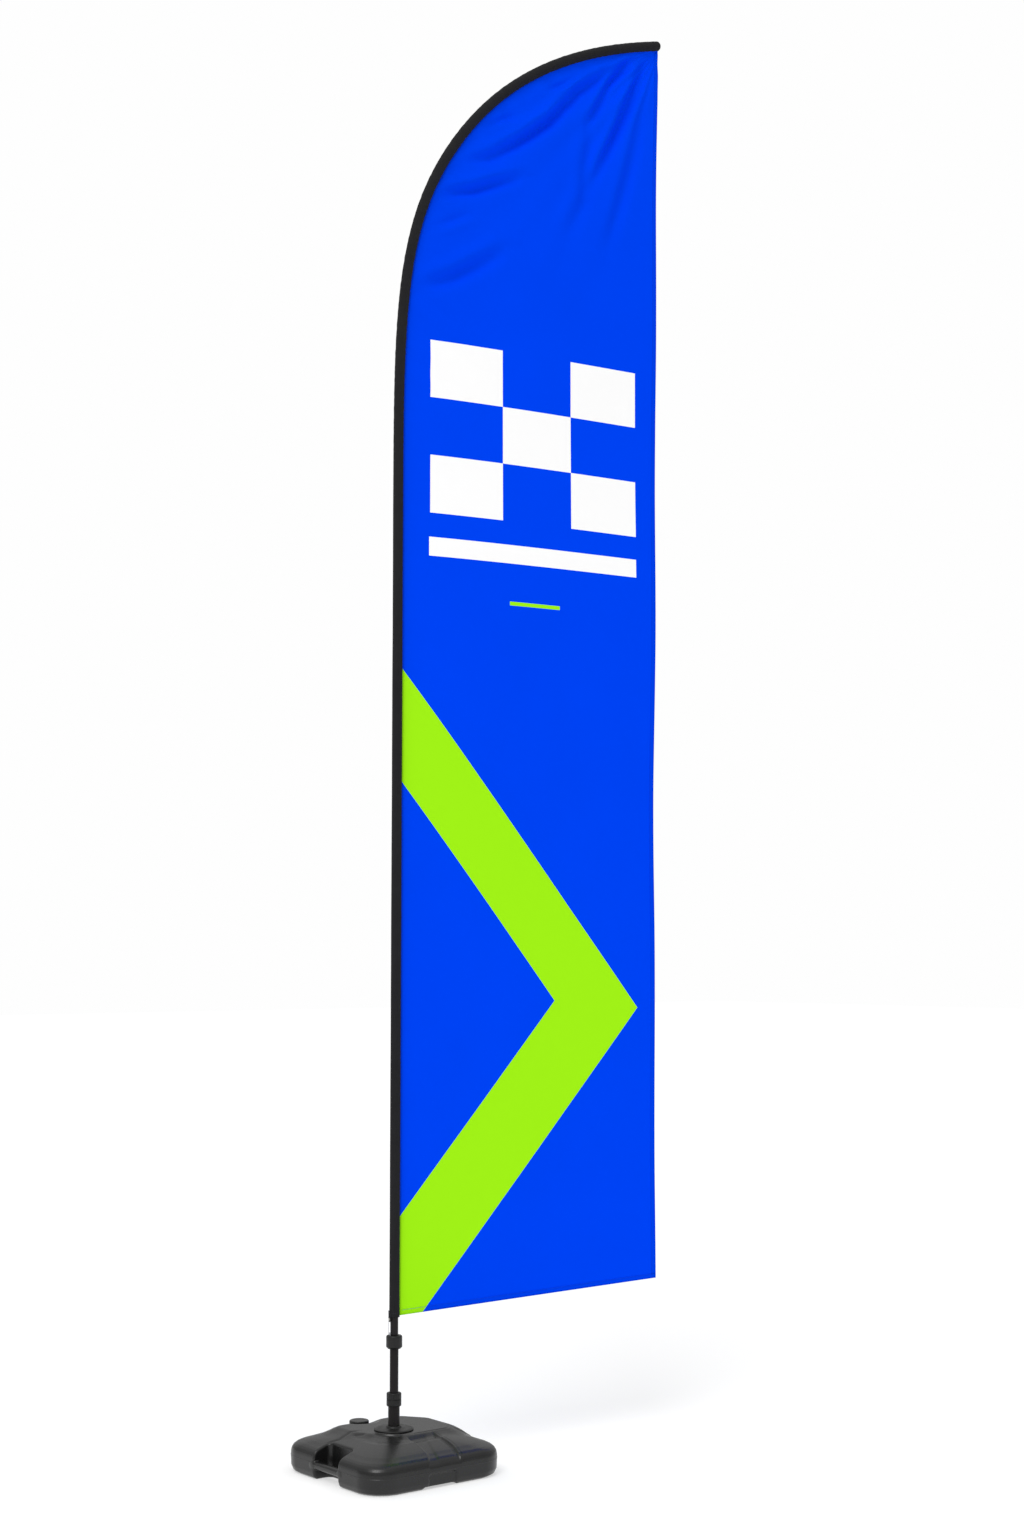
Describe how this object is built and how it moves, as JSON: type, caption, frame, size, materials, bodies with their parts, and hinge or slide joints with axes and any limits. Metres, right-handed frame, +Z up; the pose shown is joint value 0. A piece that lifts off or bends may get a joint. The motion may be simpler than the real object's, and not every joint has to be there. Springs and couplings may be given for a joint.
{
  "type": "feather flag",
  "caption": "Feather flag: a tall curved fabric sheet sleeved over a sectioned pole that turns on a spindle in a square, fillable moulded base with a carrying grip.",
  "frame": {"origin": "on the pole's axis, in the middle of the base's flat underside", "axes": "+Z up the pole; the base's sides face X and Y, with its carrying grip on -X and its filler cap on +Y; the sheet flies towards +X, turned 8 degrees towards -Y"},
  "size_m": [1.1293, 0.45, 4.2613],
  "materials": {
    "tank_plastic": "satin",
    "fitting_plastic": "satin",
    "dark_tube": "satin",
    "fibreglass_rod": "satin",
    "zinc_steel": "satin",
    "ferrule_steel": "satin",
    "insert_brass": "satin",
    "seal_rubber": "matte",
    "white_acetal": "satin",
    "sleeve_fabric": "matte",
    "printed_fabric": "matte",
    "grey_cord": "matte"
  },
  "bodies": {
    "base": {"base_tank": "tank_plastic", "well_insert": "insert_brass", "base_post": "dark_tube", "post_screw_plug": "zinc_steel", "post_seal": "seal_rubber", "post_flange": "fitting_plastic", "lock_body": "fitting_plastic", "lock_collet": "fitting_plastic"},
    "lock_ring": {"lock_ring": "fitting_plastic"},
    "riser": {"riser_tube": "dark_tube", "riser_guide": "fitting_plastic", "spindle_plug": "zinc_steel", "spindle": "zinc_steel"},
    "thrust_washer": {"thrust_washer": "white_acetal"},
    "mast": {"hub_collar": "fitting_plastic", "hub_staple": "zinc_steel", "spindle_bush_lower": "white_acetal", "spindle_bush_upper": "white_acetal", "pole_lower": "dark_tube", "ferrule_lower": "ferrule_steel", "pole_middle": "dark_tube", "ferrule_middle": "ferrule_steel", "pole_upper": "dark_tube", "ferrule_upper": "ferrule_steel", "pole_tip": "fibreglass_rod", "tip_cap": "seal_rubber", "pole_sleeve": "sleeve_fabric", "sleeve_pocket": "sleeve_fabric", "flag_panel": "printed_fabric", "sleeve_tab": "sleeve_fabric", "tab_eyelet": "ferrule_steel", "tension_cord": "grey_cord"},
    "filler_gasket": {"filler_gasket": "seal_rubber"},
    "filler_cap": {"filler_cap": "tank_plastic"}
  },
  "joints": [
    {"name": "lock_twist", "type": "hinge", "parent": "base", "child": "lock_ring", "pos_m": [0, 0, 0.2], "axis": [0, 0, 1], "range_deg": [0, 90]},
    {"name": "height_adjust", "type": "slide", "parent": "base", "child": "riser", "axis": [0, 0, 1], "range_m": [-0.06, 0.03]},
    {"name": "mast_spin", "type": "hinge", "parent": "riser", "child": "thrust_washer", "pos_m": [0, 0, 0.34], "axis": [0, 0, 1], "continuous": true},
    {"name": "mast_lift", "type": "slide", "parent": "thrust_washer", "child": "mast", "axis": [0, 0, 1], "range_m": [0, 0.18]},
    {"name": "cap_lift", "type": "slide", "parent": "base", "child": "filler_gasket", "axis": [0, 0, 1], "range_m": [0, 0.0121]},
    {"name": "cap_screw", "type": "hinge", "parent": "filler_gasket", "child": "filler_cap", "pos_m": [0, 0.168, 0.1], "axis": [0, 0, 1], "range_deg": [0, 1080]}
  ],
  "couplings": [
    {"joint": "cap_lift", "follows": "cap_screw", "m_per_rad": 0.00063662}
  ]
}
